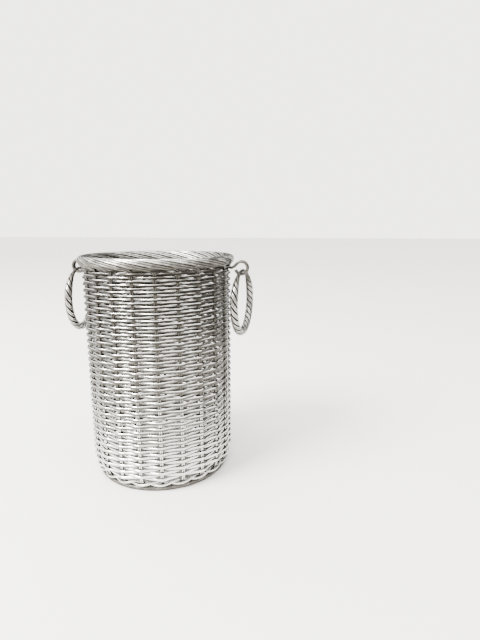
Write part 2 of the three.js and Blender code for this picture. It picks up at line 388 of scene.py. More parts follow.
def run_tree(name, tree, sizes, path=None):
    """Runs a tree once and keeps what it makes as a plain mesh object."""
    objects = bpy.context.scene.collection.objects
    maker = bpy.data.objects.new(name + "_maker", path or bpy.data.meshes.new(name))
    objects.link(maker)
    modifier = maker.modifiers.new("maker", "NODES")
    modifier.node_group = tree
    sockets = {
        item.name: item.identifier
        for item in tree.interface.items_tree
        if item.in_out == "INPUT"
    }
    for size, value in sizes.items():
        modifier[sockets[size]] = float(value)
    graph = bpy.context.evaluated_depsgraph_get()
    made = bpy.data.meshes.new_from_object(
        maker.evaluated_get(graph), preserve_all_data_layers=True, depsgraph=graph
    )
    bpy.data.objects.remove(maker)
    piece = bpy.data.objects.new(name, made)
    made.name = name
    objects.link(piece)
    triangles = sum(len(face.vertices) - 2 for face in made.polygons)
    print(name, len(made.vertices), "points,", triangles, "triangles")
    return piece


# %% [markdown]
# ## Wire along a curve
# A wire is a circle swept along a curve. The sweep takes a scale at each point, so a wire
# can get thinner on its way, and a circle that is squeezed to an oval gives a flattened
# wire. The curve's points also carry what the finish needs, and the sweep hands it on to
# the surface: which way is out, and the least painted shade and tarnish, called tucked.
# There the painted shade and tarnish is worked out, as 1 less how far the surface faces
# out, so a surface turned away from out is painted darker as shade.

# %% Sweeping a wire
def share_along(tree):
    """How far along its spline a point lies, from 0 to 1."""
    return Figure(tree, tree.nodes.new("GeometryNodeSplineParameter").outputs["Factor"])


def swept(tree, curve, sides, thick, flat=None):
    """A wire along a curve, thick being its radius, closed at its ends.

    Flat is the thickness of a flattened wire as a share of its height."""
    profile = add_node(tree, "GeometryNodeCurvePrimitiveCircle", resolution=sides, radius=1.0)
    if flat is not None:
        upright = add_node(tree, "GeometryNodeSetCurveNormal", {"mode": "Z_UP"}, curve=curve)
        curve = upright.outputs[0]
        profile = add_node(
            tree, "GeometryNodeTransform", geometry=profile.outputs[0],
            scale=point_at(tree, flat, 1.0, 1.0),
        )
    wire = add_node(
        tree, "GeometryNodeCurveToMesh", curve=curve, profile_curve=profile.outputs[0],
        scale=thick, fill_caps=True,
    )
    return wire.outputs[0]


# %% Painted shade and tarnish of a wire
def kept(tree, geometry, name, kind, value):
    """Stores a value on the points of a curve or mesh under a name."""
    store = add_node(
        tree, "GeometryNodeStoreNamedAttribute", {"data_type": kind},
        geometry=geometry, name=name, value=value,
    )
    return store.outputs[0]


def named(tree, name, kind):
    """Reads what was stored under a name."""
    reader = add_node(tree, "GeometryNodeInputNamedAttribute", {"data_type": kind}, name=name)
    return reader.outputs["Attribute"]


def with_shade_and_tarnish(tree, wire, limited=False):
    """Stores the painted shade and tarnish of a swept wire: tucked at least, more where it turns
    away.

    A limited wire carries the most it may have on its curve too."""
    normal = tree.nodes.new("GeometryNodeInputNormal").outputs[0]
    facing = vector_node(tree, "DOT_PRODUCT", normal, named(tree, "out", "FLOAT_VECTOR"))
    turned_away = 1.0 - Figure(tree, facing)
    shade_and_tarnish = turned_away.into("MAXIMUM", named(tree, "tucked", "FLOAT"))
    names = ["out", "tucked"]
    if limited:
        shade_and_tarnish = shade_and_tarnish.into("MINIMUM", named(tree, "most", "FLOAT"))
        names.append("most")
    wire = kept(tree, wire, "shade_and_tarnish", "FLOAT", shade_and_tarnish)
    for name in names:
        wire = add_node(tree, "GeometryNodeRemoveAttribute", geometry=wire, name=name).outputs[0]
    return wire


# %% [markdown]
# ## The weave
# The wall is two long wires. Each goes outside one stake and inside the next, climbs a
# little with every stake, and so winds up the wall like a screw thread. The second wire
# starts half a turn round from the first, which is eleven stakes, so it always does the
# opposite. A path drawn by hand would need thousands of points, so the tree makes a
# straight line of points and moves each one by the rule. Between two stakes the wire runs
# nearly straight: a little of the third harmonic brings the wave nearer to a zigzag, and
# the wire cuts the corner inside the circle. A slow noise lifts and lowers the wire by
# some hundredths of a millimetre.

# %% Path of a weaver
PASSES = 688
STEPS_PER_PASS = 8
ZIGZAG = 0.14
WANDER_PACE = 0.37
WANDER_APART = 50.0

weave_tree, size = start_tree(
    "woven_wire",
    ["Start", "Passes", "Spacing", "First Row", "Climb", "Reach", "Sag", "Uneven",
     "Wall Radius", "Wall Height", "Heel Radius", "Heel Height", "Wire Radius", "Wire Flat"],
)
line = add_node(weave_tree, "GeometryNodeCurvePrimitiveLine")
points = add_node(
    weave_tree, "GeometryNodeResampleCurve", curve=line.outputs[0],
    count=PASSES * STEPS_PER_PASS + 1,
)
passed = share_along(weave_tree) * size["Passes"]
angle = (passed + size["Start"] + FIRST_STAKE) * size["Spacing"]
wander = add_node(
    weave_tree, "ShaderNodeTexNoise", {"noise_dimensions": "1D"},
    w=passed * WANDER_PACE + size["Start"] * WANDER_APART, scale=1.0, detail=1.0,
)
row_height = passed * size["Climb"] + size["First Row"]
height = row_height + (Figure(weave_tree, wander.outputs[0]) - 0.5) * size["Uneven"]
half_turns = passed * math.pi
wave = half_turns.into("COSINE") + (half_turns * 3.0).into("COSINE") * ZIGZAG
swing = wave * (-1 / (1 + ZIGZAG))
corner_cut = (1.0 - (half_turns * 2.0).into("COSINE")) * 0.5
stand_off = swing * size["Reach"] - corner_cut * size["Sag"]
lean_sine = ((size["Heel Height"] - height) / size["Heel Radius"]).held(0.0, 1.0)
lean_cosine = (1.0 - lean_sine * lean_sine).into("SQRT")
wall = size["Wall Radius"] - (1.0 - lean_cosine) * size["Heel Radius"]
reach_out = wall + stand_off * lean_cosine
outside = (angle.into("COSINE"), angle.into("SINE"))
place = point_at(
    weave_tree, reach_out * outside[0], reach_out * outside[1],
    height - stand_off * lean_sine,
)
print("weave path has", len(weave_tree.nodes), "nodes")

# %% [markdown]
# ## Painted shade of the weave
# The lower rows are painted bright nearly all over, as the floor throws light on them,
# with painted grey shade between them. Towards the top a wire is painted bright only in a
# line along its upper side, where light falls from above, and the gaps are painted black
# as shade. So the way that counts as out looks up more on the upper rows, its length,
# which sets how broad the bright part is, gets less, and the most painted shade and
# tarnish that a wire may have grows. An inside pass is painted dull as shade behind its
# stake, most of all on the lower rows. On the upper rows it keeps a broader painted bright
# part than an outside pass does.

# %% Painted shade of a weaver
# Painted light and shade: the way out leans up, so the upper side of each wire is painted bright
# as if lit from above, INSIDE_BREADTH paints an inside pass brighter against its shade, and
# MOST_LOW keeps the lower rows light, as the floor throws light on them.
LOOKS_UP = 0.75
LOOKS_UP_MORE = 1.25
BRIGHT_BREADTH = 1.32
BREADTH_LOST = 0.23
INSIDE_BREADTH = 0.42
OUTSIDE_LOSS = 0.25
LOW_SHADE = 0.28
LOW_SHADE_SLOPE = 0.9
LOW_SHADE_START = 0.1
HIGH_SHADE = 0.12
HIGH_SHADE_SLOPE = 1.6
HIGH_SHADE_START = 0.75
MOST_LOW = 0.265
MOST_RISE = 0.10
MOST_BEND = 0.25

share_up = ((height - size["First Row"]) / size["Wall Height"]).held(0.0, 1.0)
upper = (share_up * 2.0).held(0.0, 1.0)
way_out = point_at(
    weave_tree, outside[0] * lean_cosine, outside[1] * lean_cosine,
    upper * LOOKS_UP_MORE + LOOKS_UP - lean_sine,
)
way_out = vector_node(weave_tree, "NORMALIZE", way_out)
inner = (-swing).held(-OUTSIDE_LOSS, 1.0) * upper
breadth = share_up * -BREADTH_LOST + BRIGHT_BREADTH + inner * INSIDE_BREADTH
way_out = vector_node(weave_tree, "SCALE", way_out, breadth)
low_shade = (swing * -LOW_SHADE_SLOPE + LOW_SHADE_START).held(0.0, 1.0)
low_shade = low_shade * (1.0 - share_up) * LOW_SHADE
high_shade = ((-swing - HIGH_SHADE_START) * HIGH_SHADE_SLOPE).held(0.0, HIGH_SHADE) * share_up
tucked = low_shade.into("MAXIMUM", high_shade)
most = (share_up * MOST_BEND + MOST_RISE) * share_up + MOST_LOW
print("weave path and tarnish have", len(weave_tree.nodes), "nodes")

# %% Wire of a weaver
WIRE_SIDES = 10

woven = kept(weave_tree, points.outputs[0], "out", "FLOAT_VECTOR", way_out)
woven = kept(weave_tree, woven, "tucked", "FLOAT", tucked)
woven = kept(weave_tree, woven, "most", "FLOAT", most)
laid = add_node(weave_tree, "GeometryNodeSetPosition", geometry=woven, position=place)
wire = swept(weave_tree, laid.outputs[0], WIRE_SIDES, size["Wire Radius"], size["Wire Flat"])
end_tree(weave_tree, with_shade_and_tarnish(weave_tree, wire, limited=True), woven_silver)
print("weave rule has", len(weave_tree.nodes), "nodes")

# %% [markdown]
# ## Two weavers
# The wire is rolled a little flat, taller than thick, so that the rows close up. It is
# woven tight: an outside pass lies close to its stake, and an inside pass is pressed
# into it. The last rows run up under the border. Each weaver stands for the five lengths
# of wire that the solids have.

# %% Both weavers
WOVEN_TALL = 2.1
WOVEN_THICK = 1.3
FIRST_ROW = 9.0
CLIMB = 0.21625
UNEVEN = 0.1
WALL_HEIGHT = 145.0
TIGHTNESS = 0.1
WEAVE_OUT = 0.25
WEAVE_REACH = STAKE_WIRE / 2 + WOVEN_THICK / 2 - TIGHTNESS
WEAVE_MIDDLE = WALL_RADIUS + WEAVE_OUT
CORNER_CUT = WALL_RADIUS * (1 - math.cos(SPACING / 2))
for letter, start in (("a", 1), ("b", 1 + STAKE_COUNT // 2)):
    weaver = run_tree(
        "weaver_" + letter,
        weave_tree,
        {
            "Start": start, "Passes": PASSES, "Spacing": SPACING,
            "First Row": FIRST_ROW * MM, "Climb": CLIMB * MM,
            "Reach": WEAVE_REACH * MM, "Sag": CORNER_CUT * MM, "Uneven": UNEVEN * MM,
            "Wall Radius": WEAVE_MIDDLE * MM, "Wall Height": WALL_HEIGHT * MM,
            "Heel Radius": HEEL_RADIUS * MM, "Heel Height": HEEL_HEIGHT * MM,
            "Wire Radius": WOVEN_TALL / 2 * MM, "Wire Flat": WOVEN_THICK / WOVEN_TALL,
        },
    )
    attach(weaver, "basket")
    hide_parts(*[f"weaver_{letter}_{length}" for length in range(1, 6)])

# %% [markdown]
# ## Wires along a path
# Stakes and eyes are bent in several ways along their length, so their paths are worked
# out point by point and handed to a tree as a mesh of edges. Each point carries its
# wire's radius as thick, which way is out, and its least painted shade and tarnish as
# tucked. The tree sweeps a round wire along each path and sets copies of it round the axis.

# %% Tree for wires along a path
PATH_SIDES = 8

path_tree, size = start_tree("bent_wire", ["Copies", "Turn"], takes_path=True)
curves = add_node(path_tree, "GeometryNodeMeshToCurve", mesh=size["Path"])
bent = swept(path_tree, curves.outputs[0], PATH_SIDES, named(path_tree, "thick", "FLOAT"))
bent = with_shade_and_tarnish(path_tree, bent)
places = add_node(path_tree, "GeometryNodeMeshLine", count=size["Copies"], offset=(0, 0, 0))
copy_number = Figure(path_tree, path_tree.nodes.new("GeometryNodeInputIndex").outputs[0])
copies = add_node(
    path_tree, "GeometryNodeInstanceOnPoints",
    points=places.outputs[0], instance=bent,
    rotation=point_at(path_tree, 0.0, 0.0, copy_number * size["Turn"]),
)
end_tree(path_tree, copies.outputs[0], stake_silver)
print("path tree has", len(path_tree.nodes), "nodes")


# %% Paths as a mesh
def path_mesh(name, paths):
    """A mesh of open paths of (point in mm, way out, radius in mm, tucked)."""
    points, edges, ways, thick, tuck = [], [], [], [], []
    for path in paths:
        first = len(points)
        for point, out, radius, tucked in path:
            points.append([value * MM for value in point])
            ways += list(out)
            thick.append(radius * MM)
            tuck.append(tucked)
        edges += [(place, place + 1) for place in range(first, len(points) - 1)]
    mesh = bpy.data.meshes.new(name)
    mesh.from_pydata(points, edges, [])
    mesh.attributes.new("out", "FLOAT_VECTOR", "POINT").data.foreach_set("vector", ways)
    mesh.attributes.new("thick", "FLOAT", "POINT").data.foreach_set("value", thick)
    mesh.attributes.new("tucked", "FLOAT", "POINT").data.foreach_set("value", tuck)
    print(name, len(points), "points")
    return mesh


def pair_of_wires(line, faces_aside=False):
    """Two paths beside a line, half a wire to each side of it."""
    sides = []
    for side in (-1, 1):
        path = []
        for place, (point, out, radius, tucked) in enumerate(line):
            before = line[max(place - 1, 0)][0]
            after = line[min(place + 1, len(line) - 1)][0]
            across = out.cross(after - before).normalized()
            way = across * side if faces_aside else out
            path.append((point + across * (radius * side), way, radius, tucked))
        sides.append(path)
    return sides


# %% [markdown]
# ## Rolled border
# Above the rows each stake lies round the rim in a long slope: up the outside of a roll,
# over its top and down its inside, past more than five other stakes. The roll's section
# is an oval that leans outwards at the top. A place on a strand is given by how many
# stake spacings it has passed, which sets both how far round the rim it lies and how far
# round the roll. A plain ring with striped bumps would be quicker to make, but its edge
# would be smooth where the real one is notched.

# %% Roll of the border
UP = Vector((0, 0, 1))
BORDER_WIRE = 1.42
ROLL_OUT = 0.4
ROLL_WIDE = 3.45
ROLL_TALL = 3.75
ROLL_FLARE = 1.1
ROLL_CENTRE = WALL_RADIUS + ROLL_OUT
ROLL_HEIGHT = cad_box[1].z / MM - ROLL_TALL - BORDER_WIRE / 2
BORDER_STRANDS = 5.6
BORDER_START = math.radians(-45)
BORDER_TURN = math.radians(270)


def outward(angle):
    return Vector((math.cos(angle), math.sin(angle), 0))


def roll_section(turn):
    """A point of the roll's section from its middle, and the way out there."""
    across, up = math.cos(turn), math.sin(turn)
    point = Vector((ROLL_WIDE * across + ROLL_FLARE * up, ROLL_TALL * up))
    out = Vector((ROLL_TALL * across, ROLL_WIDE * up - ROLL_FLARE * across))
    return point, out.normalized()


def roll_turn(passed):
    return BORDER_START + BORDER_TURN * passed / BORDER_STRANDS


def roll_point(passed, angle):
    """A point of a border strand, and the way out from the roll there."""
    there = outward(angle - passed * SPACING)
    point, out = roll_section(roll_turn(passed))
    middle = there * ROLL_CENTRE + UP * ROLL_HEIGHT
    return middle + there * point.x + UP * point.y, there * out.x + UP * out.y


print("border's roll has its middle at", round(ROLL_HEIGHT, 2), "mm")

# %% [markdown]
# ## Stakes
# A stake is a pair of wires side by side. It starts a little inside the foot hoop, as if
# soldered there, follows the heel out to the wall, goes straight up between the rows, and
# under the border it bends to one side and becomes a border strand. The bend is a Bezier
# curve between the upright and the slope. All the stakes do the same, so one is worked
# out, and twenty-two copies are set round the axis. The uprights are painted with shade
# that grows towards the top. The border is painted brightest over the top of its roll, as
# a painted highlight, and lighter on its inside, as painted light.

# %% Painted shade of stakes and border
# The uprights get painted shade that grows towards the top; the border strands get a painted
# highlight over the top of the roll and painted light on its inside.
STAKE_SHADE_LOW = 0.25
STAKE_SHADE_RISE = 0.58
STAKE_SHADE_FROM = 35
STAKE_SHADE_OVER = 85
BORDER_SHADE = 0.49
TOP_HIGHLIGHT = 0.20
TOP_HIGHLIGHT_AT = math.radians(70)
INSIDE_LESS = 0.14


def stake_shade(height):
    """Painted shade of an upright: light near the foot, where the floor throws light, heavy
    towards the top.
    """
    share = min(max((height - STAKE_SHADE_FROM) / STAKE_SHADE_OVER, 0.0), 1.0)
    return STAKE_SHADE_LOW + STAKE_SHADE_RISE * share * share * (3 - 2 * share)


def border_shade(passed):
    """Painted shade of a border strand: less under a painted highlight over the top of the roll,
    and less inside, as painted light.
    """
    turn = roll_turn(passed)
    top_highlight = max(0.0, math.cos(turn - TOP_HIGHLIGHT_AT))
    inside = max(0.0, -math.cos(turn))
    return BORDER_SHADE - TOP_HIGHLIGHT * top_highlight**3 - INSIDE_LESS * inside


# %% Heel and bend
def wall_point(lean, angle):
    """A point of the heel, and the way out there, where the wall leans in by lean."""
    radius = WALL_RADIUS - HEEL_RADIUS * (1 - math.cos(lean))
    point = outward(angle) * radius + UP * (HEEL_HEIGHT - HEEL_RADIUS * math.sin(lean))
    return point, outward(angle) * math.cos(lean) - UP * math.sin(lean)


def bezier(start, start_pull, end_pull, end, share):
    rest = 1 - share
    return (
        start * rest**3 + start_pull * (3 * rest**2 * share)
        + end_pull * (3 * rest * share**2) + end * share**3
    )


# %% Path of one stake
HEEL_PAST = 1.06
HEEL_STEPS = 8
UPRIGHT_STEPS = 12
BEND_FROM = 155.2
BEND_TO = 0.5
BEND_PULL = 2.8
BEND_STEPS = 8
BORDER_STEPS = 36
LOOK_AHEAD = 0.05


def stake_line(angle):
    """Points of a stake with the way out at each, its wire's radius and its painted shade."""
    line = []
    for step in range(HEEL_STEPS + 1):
        lean = HEEL_ANGLE * (HEEL_PAST - HEEL_PAST * step / HEEL_STEPS)
        line.append((*wall_point(lean, angle), STAKE_WIRE / 2, stake_shade(0)))
    upright = outward(angle) * WALL_RADIUS
    for step in range(1, UPRIGHT_STEPS + 1):
        height = HEEL_HEIGHT + (BEND_FROM - HEEL_HEIGHT) * step / UPRIGHT_STEPS
        line.append((upright + UP * height, outward(angle), STAKE_WIRE / 2, stake_shade(height)))
    start = upright + UP * BEND_FROM
    end, end_out = roll_point(BEND_TO, angle)
    ahead = (roll_point(BEND_TO + LOOK_AHEAD, angle)[0] - end).normalized()
    for step in range(1, BEND_STEPS + 1):
        share = step / BEND_STEPS
        point = bezier(start, start + UP * BEND_PULL, end - ahead * BEND_PULL, end, share)
        out = outward(angle).lerp(end_out, share).normalized()
        radius = STAKE_WIRE / 2 * (1 - share) + BORDER_WIRE / 2 * share
        tucked = stake_shade(BEND_FROM) * (1 - share) + border_shade(BEND_TO) * share
        line.append((point, out, radius, tucked))
    for step in range(1, BORDER_STEPS + 1):
        passed = BEND_TO + (BORDER_STRANDS - BEND_TO) * step / BORDER_STEPS
        line.append((*roll_point(passed, angle), BORDER_WIRE / 2, border_shade(passed)))
    return line


# %% All stakes
stake_paths = path_mesh("stake_path", pair_of_wires(stake_line(FIRST_STAKE * SPACING)))
stakes = run_tree(
    "stakes", path_tree, {"Copies": STAKE_COUNT, "Turn": SPACING}, stake_paths
)
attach(stakes, "basket")
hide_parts(*[f"stake_{number:02d}" for number in range(1, STAKE_COUNT + 1)])

# %% [markdown]
# ## Eyes
# A ring hangs in an eye: a pair of wires that is beaten thin where it goes into the wall
# under the border, bent up into a round loop, and closed nearly to its own neck. The loop
# stands in a plane through the axis, so the ring can swing out and up. Its wires are a
# dull grey, with painted shade black along the groove between them. The tree for bent
# wires makes both eyes from one path.

# %% Path of an eye
lug_low, lug_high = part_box("lug_right")
EYE_RADIUS = 4.6
EYE_WIRE = 2.1
EYE_CENTRE = lug_high.x / MM - EYE_RADIUS - EYE_WIRE / 2
EYE_HEIGHT = 155.61
EYE_TUCK = 0.72
TANG_THICKNESS = 0.8
TANG_TUCK = 0.6
TANG_START = lug_low.x / MM
TANG_END = WALL_RADIUS + 1.4
NECK_START = Vector((WALL_RADIUS + 3.0, 0, EYE_HEIGHT))
NECK_PULL = 2.0
LOOP_PULL = 1.6
LOOP_START = math.radians(38)
LOOP_END = math.radians(342)
TANG_STEPS = 4
NECK_STEPS = 6
LOOP_STEPS = 32


def eye_point(turn):
    """A point of the loop, and the way out from the loop's middle there."""
    out = Vector((-math.cos(turn), 0, math.sin(turn)))
    return Vector((EYE_CENTRE, 0, EYE_HEIGHT)) + out * EYE_RADIUS, out


def eye_line():
    """Points of an eye, from the tail in the wall to the end of the loop."""
    line = []
    for step in range(TANG_STEPS + 1):
        x = TANG_START + (TANG_END - TANG_START) * step / TANG_STEPS
        line.append((Vector((x, 0, EYE_HEIGHT)), UP, TANG_THICKNESS / 2, TANG_TUCK))
    loop_point, loop_out = eye_point(LOOP_START)
    along_neck = NECK_START + Vector((NECK_PULL, 0, 0))
    loop_ahead = Vector((math.sin(LOOP_START), 0, math.cos(LOOP_START)))
    for step in range(NECK_STEPS + 1):
        share = step / NECK_STEPS
        point = bezier(
            NECK_START, along_neck, loop_point - loop_ahead * LOOP_PULL, loop_point, share
        )
        line.append((point, UP.lerp(loop_out, share).normalized(), EYE_WIRE / 2, EYE_TUCK))
    for step in range(1, LOOP_STEPS + 1):
        turn = LOOP_START + (LOOP_END - LOOP_START) * step / LOOP_STEPS
        line.append((*eye_point(turn), EYE_WIRE / 2, EYE_TUCK))
    return line


# %% Two eyes
# Each wire's way out faces away from the other, so the groove between them is painted black as
# shade.
eye_paths = path_mesh("eye_path", pair_of_wires(eye_line(), faces_aside=True))
eyes = run_tree("eyes", path_tree, {"Copies": 2, "Turn": math.pi}, eye_paths)
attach(eyes, "basket")
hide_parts("lug_right", "lug_left")

# %% [markdown]
# ## Rope rings
# Each handle is four strands twisted into a left-handed rope and bent into a ring, and
# each strand is a pair of wires. Near the top the rope is drawn down thin, so that it can
# pass through its eye. The tree starts from a circle of points, copies it once for each
# wire, and moves each copy round the middle of the rope as it goes round the ring. The
# wires get thinner where the rope does. A Curve modifier could bend a straight rope into
# a ring, but not draw it down. The ring is then hung on its joint's axis.

# %% Wires of the rope
RING_STRANDS = 4
RING_POINTS = 360
PAIR_ANGLE = math.radians(31)
WIRE_SHARE = 0.33
ROUNDING = 0.01

rope_tree, size = start_tree(
    "rope_ring",
    ["Middle Radius", "Rope Radius", "Pin Radius", "Twists", "Taper From", "Taper To",
     "Yaw", "Pin Reach", "Pin Height", "Side"],
)
circle = add_node(rope_tree, "GeometryNodeCurvePrimitiveCircle", resolution=RING_POINTS)
rope_wires = add_node(
    rope_tree, "GeometryNodeDuplicateElements", {"domain": "SPLINE"},
    geometry=circle.outputs[0], amount=RING_STRANDS * 2,
)
number = Figure(rope_tree, rope_wires.outputs["Duplicate Index"])
turn = share_along(rope_tree) * (2 * math.pi)
from_top = turn.into("MINIMUM", 2 * math.pi - turn)
taper = (from_top - size["Taper From"]) / (size["Taper To"] - size["Taper From"])
taper = taper.held(0.0, 1.0)
share = taper * taper * (3.0 - taper * 2.0)
rope = size["Pin Radius"] + (size["Rope Radius"] - size["Pin Radius"]) * share
wire_radius = rope * WIRE_SHARE
# Rounding is added so that the half of an even number never falls to the strand before.
strand = (number * 0.5 + ROUNDING).into("FLOOR")
in_pair = number - strand * 2.0
twist = strand * (2 * math.pi / RING_STRANDS) + in_pair * PAIR_ANGLE - turn * size["Twists"]
aside = (rope - wire_radius) * twist.into("COSINE")
out = size["Middle Radius"] + (rope - wire_radius) * twist.into("SINE")
print("rope path has", len(rope_tree.nodes), "nodes")

# %% Ring of rope
PIN_TUCK = 0.3

# The way out from the rope's middle sets the painted shade and tarnish, so the grooves between
# its wires are painted dark.
way_out = point_at(
    rope_tree, -twist.into("COSINE"), twist.into("SINE") * turn.into("SINE"),
    twist.into("SINE") * turn.into("COSINE"),
)
twisted = kept(rope_tree, rope_wires.outputs["Geometry"], "out", "FLOAT_VECTOR", way_out)
twisted = kept(rope_tree, twisted, "tucked", "FLOAT", (1.0 - share) * PIN_TUCK)
laid = add_node(
    rope_tree, "GeometryNodeSetPosition", geometry=twisted,
    position=point_at(
        rope_tree, -aside, out * turn.into("SINE"),
        out * turn.into("COSINE") - size["Middle Radius"],
    ),
)
rope_wire = swept(rope_tree, laid.outputs[0], PATH_SIDES, wire_radius)
hung = add_node(
    rope_tree, "GeometryNodeTransform", geometry=with_shade_and_tarnish(rope_tree, rope_wire),
    rotation=point_at(rope_tree, 0.0, 0.0, size["Yaw"]),
    translation=point_at(rope_tree, size["Pin Reach"], 0.0, size["Pin Height"]),
)
sided = add_node(
    rope_tree, "GeometryNodeTransform", geometry=hung.outputs[0],
    rotation=point_at(rope_tree, 0.0, 0.0, size["Side"]),
)
end_tree(rope_tree, sided.outputs[0], rope_silver)
print("rope rule has", len(rope_tree.nodes), "nodes")

# %% Both rings
RING_MIDDLE = 22.8
RING_ROPE = 5.7
RING_PIN = 2.4
RING_TWISTS = 7
RING_TAPER_FROM = math.radians(14)
RING_TAPER_TO = math.radians(75)
RING_YAW = math.radians(6.5)
swings = {joint["name"]: joint for joint in frame["joints"]}
for name, side, yaw in (("right", 0.0, -RING_YAW), ("left", math.pi, RING_YAW)):
    pin = swings[f"ring_{name}_swing"]["pos_m"]
    ring = run_tree(
        f"rope_{name}",
        rope_tree,
        {
            "Middle Radius": RING_MIDDLE * MM, "Rope Radius": RING_ROPE / 2 * MM,
            "Pin Radius": RING_PIN / 2 * MM, "Twists": RING_TWISTS,
            "Taper From": RING_TAPER_FROM, "Taper To": RING_TAPER_TO, "Yaw": yaw,
            "Pin Reach": abs(pin[0]), "Pin Height": pin[2], "Side": side,
        },
    )
    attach(ring, f"ring_{name}")
    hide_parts(f"ring_{name}")

# %% [markdown]
# ## Foot twine
# Two thinner wires twist about each other between the stakes just above the foot, and
# lock the stakes in place. They follow a rule as the weave does, but they close on
# themselves after one turn, so the tree starts from a circle. An inside pass gets painted
# shade behind its stake, and their painted shade and tarnish is limited, because the floor
# throws light on them.

# %% Rule of the twine
TWINE_STEPS = 12
TWINE_TUCK = 0.3
TWINE_MOST = 0.42

twine_tree, size = start_tree(
    "foot_twine",
    ["Stakes", "Middle", "Height", "Reach", "Rise", "Lean Sine", "Lean Cosine", "Wire Radius"],
)
circle = add_node(
    twine_tree, "GeometryNodeCurvePrimitiveCircle", resolution=STAKE_COUNT * TWINE_STEPS
)
twines = add_node(
    twine_tree, "GeometryNodeDuplicateElements", {"domain": "SPLINE"},
    geometry=circle.outputs[0], amount=2,
)
twine = Figure(twine_tree, twines.outputs["Duplicate Index"])
passed = share_along(twine_tree) * size["Stakes"]
angle = (passed + FIRST_STAKE) * SPACING
phase = (passed + twine) * math.pi
swing = phase.into("COSINE")
sideways = swing * size["Reach"]
lift = phase.into("SINE") * size["Rise"]
reach_out = size["Middle"] + sideways * size["Lean Cosine"] + lift * size["Lean Sine"]
outside = (angle.into("COSINE"), angle.into("SINE"))
way_out = point_at(
    twine_tree, outside[0] * size["Lean Cosine"], outside[1] * size["Lean Cosine"],
    -size["Lean Sine"],
)
# Inside passes get painted shade behind their stakes, and TWINE_MOST keeps it light, as painted
# light from the floor.
wound = kept(twine_tree, twines.outputs["Geometry"], "out", "FLOAT_VECTOR", way_out)
wound = kept(twine_tree, wound, "tucked", "FLOAT", (-swing).held(0.0, TWINE_TUCK))
wound = kept(twine_tree, wound, "most", "FLOAT", TWINE_MOST)
laid = add_node(
    twine_tree, "GeometryNodeSetPosition", geometry=wound,
    position=point_at(
        twine_tree, reach_out * outside[0], reach_out * outside[1],
        size["Height"] - sideways * size["Lean Sine"] + lift * size["Lean Cosine"],
    ),
)
wire = swept(twine_tree, laid.outputs[0], PATH_SIDES, size["Wire Radius"])
end_tree(twine_tree, with_shade_and_tarnish(twine_tree, wire, limited=True), foot_silver)
print("twine rule has", len(twine_tree.nodes), "nodes")

# %% Foot twine
TWINE_WIRE = 1.8
TWINE_HEIGHT = 5.7
TWINE_GAP = 0.1
TWINE_LEAN = (HEEL_HEIGHT - TWINE_HEIGHT) / HEEL_RADIUS
TWINE_UPRIGHT = math.sqrt(1 - TWINE_LEAN**2)
foot_twine = run_tree(
    "foot_twine",
    twine_tree,
    {
        "Stakes": STAKE_COUNT, "Height": TWINE_HEIGHT * MM,
        "Middle": (WALL_RADIUS - HEEL_RADIUS * (1 - TWINE_UPRIGHT)) * MM,
        "Reach": (STAKE_WIRE / 2 + TWINE_WIRE / 2 + TWINE_GAP) * MM,
        "Rise": (TWINE_WIRE / 2 + TWINE_GAP) * MM,
        "Lean Sine": TWINE_LEAN, "Lean Cosine": TWINE_UPRIGHT,
        "Wire Radius": TWINE_WIRE / 2 * MM,
    },
)
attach(foot_twine, "basket")
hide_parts("foot_twine_a", "foot_twine_b")

# %% [markdown]
# ## Turned pieces
# The foot hoop, the hoop inside the border and the base are the same all the way round.
# Each is an outline turned about the axis. A Screw modifier could turn it, but a loop
# gives each point its painted shade and tarnish as well. The outline goes round once and
# closes on itself, or starts and ends on the axis, so the mesh is closed.

# %% Turning an outline
TURN_STEPS = 176
MERGE_WITHIN = 1e-7
NO_LENGTH = 1e-8


def turned(name, outline, finish, shade_and_tarnish, closed):
    """A mesh made by turning an outline of (radius, height) in mm about the axis.

    A rule gives each height its painted shade and tarnish."""
    shape = bmesh.new()
    columns = []
    for step in range(TURN_STEPS):
        angle = 2 * math.pi * step / TURN_STEPS
        columns.append([
            shape.verts.new((outward(angle) * radius + UP * height) * MM)
            for radius, height in outline
        ])
    rows = len(outline) if closed else len(outline) - 1
    for step in range(TURN_STEPS):
        here, beside = columns[step], columns[(step + 1) % TURN_STEPS]
        for row in range(rows):
            above = (row + 1) % len(outline)
            shape.faces.new((here[row], beside[row], beside[above], here[above]))
    bmesh.ops.remove_doubles(shape, verts=shape.verts, dist=MERGE_WITHIN)
    bmesh.ops.dissolve_degenerate(shape, edges=shape.edges, dist=NO_LENGTH)
    bmesh.ops.recalc_face_normals(shape, faces=shape.faces)
    mesh = bpy.data.meshes.new(name)
    shape.to_mesh(mesh)
    shape.free()
    mesh.polygons.foreach_set("use_smooth", [True] * len(mesh.polygons))
    values = [shade_and_tarnish(point.co.z / MM) for point in mesh.vertices]
    mesh.attributes.new("shade_and_tarnish", "FLOAT", "POINT").data.foreach_set("value", values)
    mesh.materials.append(finish)
    piece = bpy.data.objects.new(name, mesh)
    bpy.context.scene.collection.objects.link(piece)
    print(name, len(mesh.polygons), "faces")
    return piece


# %% [markdown]
# ## Hoops
# The coaster stands on a hoop with a flat below and above and rounded sides, painted
# darkest where it meets the floor as a shadow. Another hoop fills the border's roll, just
# under the strands, so that no light comes through between them, and it is painted a dull
# grey as shade. It has the roll's section, drawn in by a little more than half a strand's
# thickness.

# %% Foot hoop
FOOT_WIDTH = 4.4
FOOT_FLAT = 3.0
FOOT_RADIUS = WALL_RADIUS - HEEL_RADIUS * (1 - math.cos(HEEL_ANGLE))
FOOT_SIDE_STEPS = 8
FOOT_SHADOW = 1.1
FOOT_PAINTED_SHADOW = 0.95
FOOT_DULL = 0.52


